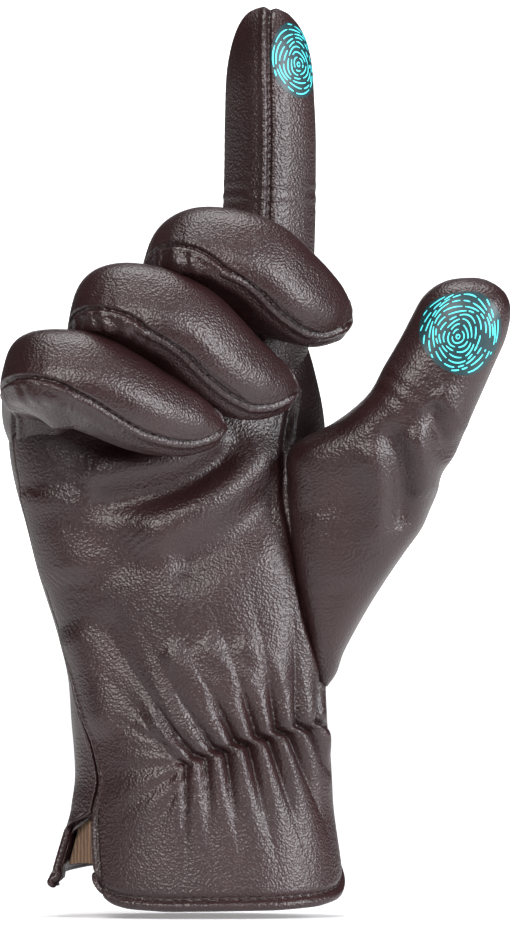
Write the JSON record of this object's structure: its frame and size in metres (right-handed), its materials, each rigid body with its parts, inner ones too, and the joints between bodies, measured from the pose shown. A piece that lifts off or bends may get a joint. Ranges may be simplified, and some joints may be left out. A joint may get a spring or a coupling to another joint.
{
  "type": "touchscreen glove",
  "caption": "Right-hand brown leather glove in a pointing pose, with gathered wrist, vented cuff and printed touch marks on the index and thumb tips.",
  "frame": {"origin": "centre of the wrist opening, at the height of the cuff's hem", "axes": "+Z from the wrist opening to the index fingertip, the palm faces -Y, +X is the thumb side"},
  "size_m": [0.1365, 0.0798, 0.2498],
  "materials": {
    "leather_brown": "fine-grained nappa, satin",
    "leather_soft": "fine-grained nappa, satin, creased at the joints",
    "lining_knit": "brushed knit",
    "elastic": "woven elastic tape",
    "touch_print": "thin cyan print"
  },
  "bodies": {
    "hand": {"palm_leather": "leather_brown", "back_leather": "leather_brown", "palm_lining": "lining_knit", "back_lining": "lining_knit", "palm_cuff_hem": "leather_brown", "back_cuff_hem": "leather_brown", "palm_vent_facing": "leather_soft", "back_vent_facing": "leather_soft", "wrist_elastic": "elastic", "thumb_gusset_leather": "leather_brown", "thumb_root_gusset": "leather_soft", "index_root_gusset": "leather_soft", "middle_root_gusset": "leather_soft", "ring_root_gusset": "leather_soft", "little_root_gusset": "leather_soft"},
    "index_proximal": {"index_proximal_leather": "leather_brown", "index_proximal_lining": "lining_knit", "index_fourchette": "leather_soft", "index_knuckle_gusset": "leather_soft"},
    "index_middle": {"index_middle_leather": "leather_brown", "index_middle_lining": "lining_knit", "index_end_gusset": "leather_soft"},
    "index_tip": {"index_tip_leather": "leather_brown", "index_tip_lining": "lining_knit", "index_touch_print": "touch_print"},
    "middle_proximal": {"middle_proximal_leather": "leather_brown", "middle_proximal_lining": "lining_knit", "middle_fourchette": "leather_soft", "middle_knuckle_gusset": "leather_soft"},
    "middle_middle": {"middle_middle_leather": "leather_brown", "middle_middle_lining": "lining_knit", "middle_end_gusset": "leather_soft"},
    "middle_tip": {"middle_tip_leather": "leather_brown", "middle_tip_lining": "lining_knit"},
    "ring_proximal": {"ring_proximal_leather": "leather_brown", "ring_proximal_lining": "lining_knit", "ring_fourchette": "leather_soft", "ring_knuckle_gusset": "leather_soft"},
    "ring_middle": {"ring_middle_leather": "leather_brown", "ring_middle_lining": "lining_knit", "ring_end_gusset": "leather_soft"},
    "ring_tip": {"ring_tip_leather": "leather_brown", "ring_tip_lining": "lining_knit"},
    "little_proximal": {"little_proximal_leather": "leather_brown", "little_proximal_lining": "lining_knit", "little_fourchette": "leather_soft", "little_knuckle_gusset": "leather_soft"},
    "little_middle": {"little_middle_leather": "leather_brown", "little_middle_lining": "lining_knit", "little_end_gusset": "leather_soft"},
    "little_tip": {"little_tip_leather": "leather_brown", "little_tip_lining": "lining_knit"},
    "thumb_proximal": {"thumb_proximal_leather": "leather_brown", "thumb_proximal_lining": "lining_knit", "thumb_knuckle_gusset": "leather_soft"},
    "thumb_tip": {"thumb_tip_leather": "leather_brown", "thumb_tip_lining": "lining_knit", "thumb_touch_print": "touch_print"}
  },
  "joints": [
    {"name": "index_root", "type": "hinge", "parent": "hand", "child": "index_proximal", "pos_m": [0.0175, 0.007, 0.165], "axis": [0.8486, 0.5291, 0], "range_deg": [-25, 4], "deforming": ["index_root_gusset"]},
    {"name": "index_knuckle", "type": "hinge", "parent": "index_proximal", "child": "index_middle", "pos_m": [0.0175, 0.007, 0.195], "axis": [0.8486, 0.5291, 0], "range_deg": [0, 80], "deforming": ["index_knuckle_gusset"]},
    {"name": "index_end", "type": "hinge", "parent": "index_middle", "child": "index_tip", "pos_m": [0.0178, 0.007, 0.223], "axis": [0.8486, 0.5291, 0], "range_deg": [0, 50], "deforming": ["index_end_gusset"]},
    {"name": "middle_root", "type": "hinge", "parent": "hand", "child": "middle_proximal", "pos_m": [-0.004, -0.001, 0.161], "axis": [0.212, 0.5736, 0.7912], "range_deg": [-20, 2], "deforming": ["middle_root_gusset"]},
    {"name": "middle_knuckle", "type": "hinge", "parent": "middle_proximal", "child": "middle_middle", "pos_m": [-0.003, -0.028, 0.18], "axis": [0.212, 0.5736, 0.7912], "range_deg": [-90, 2], "deforming": ["middle_knuckle_gusset"]},
    {"name": "middle_end", "type": "hinge", "parent": "middle_middle", "child": "middle_tip", "pos_m": [0.02308, -0.028, 0.17301], "axis": [0.212, 0.5736, 0.7912], "range_deg": [-34, 1.5], "deforming": ["middle_end_gusset"]},
    {"name": "ring_root", "type": "hinge", "parent": "hand", "child": "ring_proximal", "pos_m": [-0.025, -0.0085, 0.154], "axis": [0.212, 0.5736, 0.7912], "range_deg": [-12, 2], "deforming": ["ring_root_gusset"]},
    {"name": "ring_knuckle", "type": "hinge", "parent": "ring_proximal", "child": "ring_middle", "pos_m": [-0.0235, -0.038, 0.1655], "axis": [0.212, 0.5736, 0.7912], "range_deg": [-90, 2], "deforming": ["ring_knuckle_gusset"]},
    {"name": "ring_end", "type": "hinge", "parent": "ring_middle", "child": "ring_tip", "pos_m": [0.00451, -0.038, 0.15799], "axis": [0.212, 0.5736, 0.7912], "range_deg": [-34, 1.5], "deforming": ["ring_end_gusset"]},
    {"name": "little_root", "type": "hinge", "parent": "hand", "child": "little_proximal", "pos_m": [-0.043, -0.017, 0.148], "axis": [0.1703, 0.5736, 0.8013], "range_deg": [-25, 2], "deforming": ["little_root_gusset"]},
    {"name": "little_knuckle", "type": "hinge", "parent": "little_proximal", "child": "little_middle", "pos_m": [-0.042, -0.044, 0.146], "axis": [0.1703, 0.5736, 0.8013], "range_deg": [-90, 2], "deforming": ["little_knuckle_gusset"]},
    {"name": "little_end", "type": "hinge", "parent": "little_middle", "child": "little_tip", "pos_m": [-0.01461, -0.044, 0.14018], "axis": [0.1703, 0.5736, 0.8013], "range_deg": [-34, 1.5], "deforming": ["little_end_gusset"]},
    {"name": "thumb_root", "type": "hinge", "parent": "hand", "child": "thumb_proximal", "pos_m": [0.0495, -0.015, 0.119], "axis": [0.9131, 0, -0.4078], "range_deg": [-15, 30], "deforming": ["thumb_root_gusset"]},
    {"name": "thumb_knuckle", "type": "hinge", "parent": "thumb_proximal", "child": "thumb_tip", "pos_m": [0.062, -0.018, 0.147], "axis": [0.9131, 0, -0.4078], "range_deg": [-10, 60], "deforming": ["thumb_knuckle_gusset"]}
  ],
  "couplings": [
    {"joint": "index_end", "follows": "index_knuckle", "ratio": 0.6},
    {"joint": "middle_end", "follows": "middle_knuckle", "ratio": 0.37},
    {"joint": "ring_end", "follows": "ring_knuckle", "ratio": 0.37},
    {"joint": "little_end", "follows": "little_knuckle", "ratio": 0.37}
  ]
}
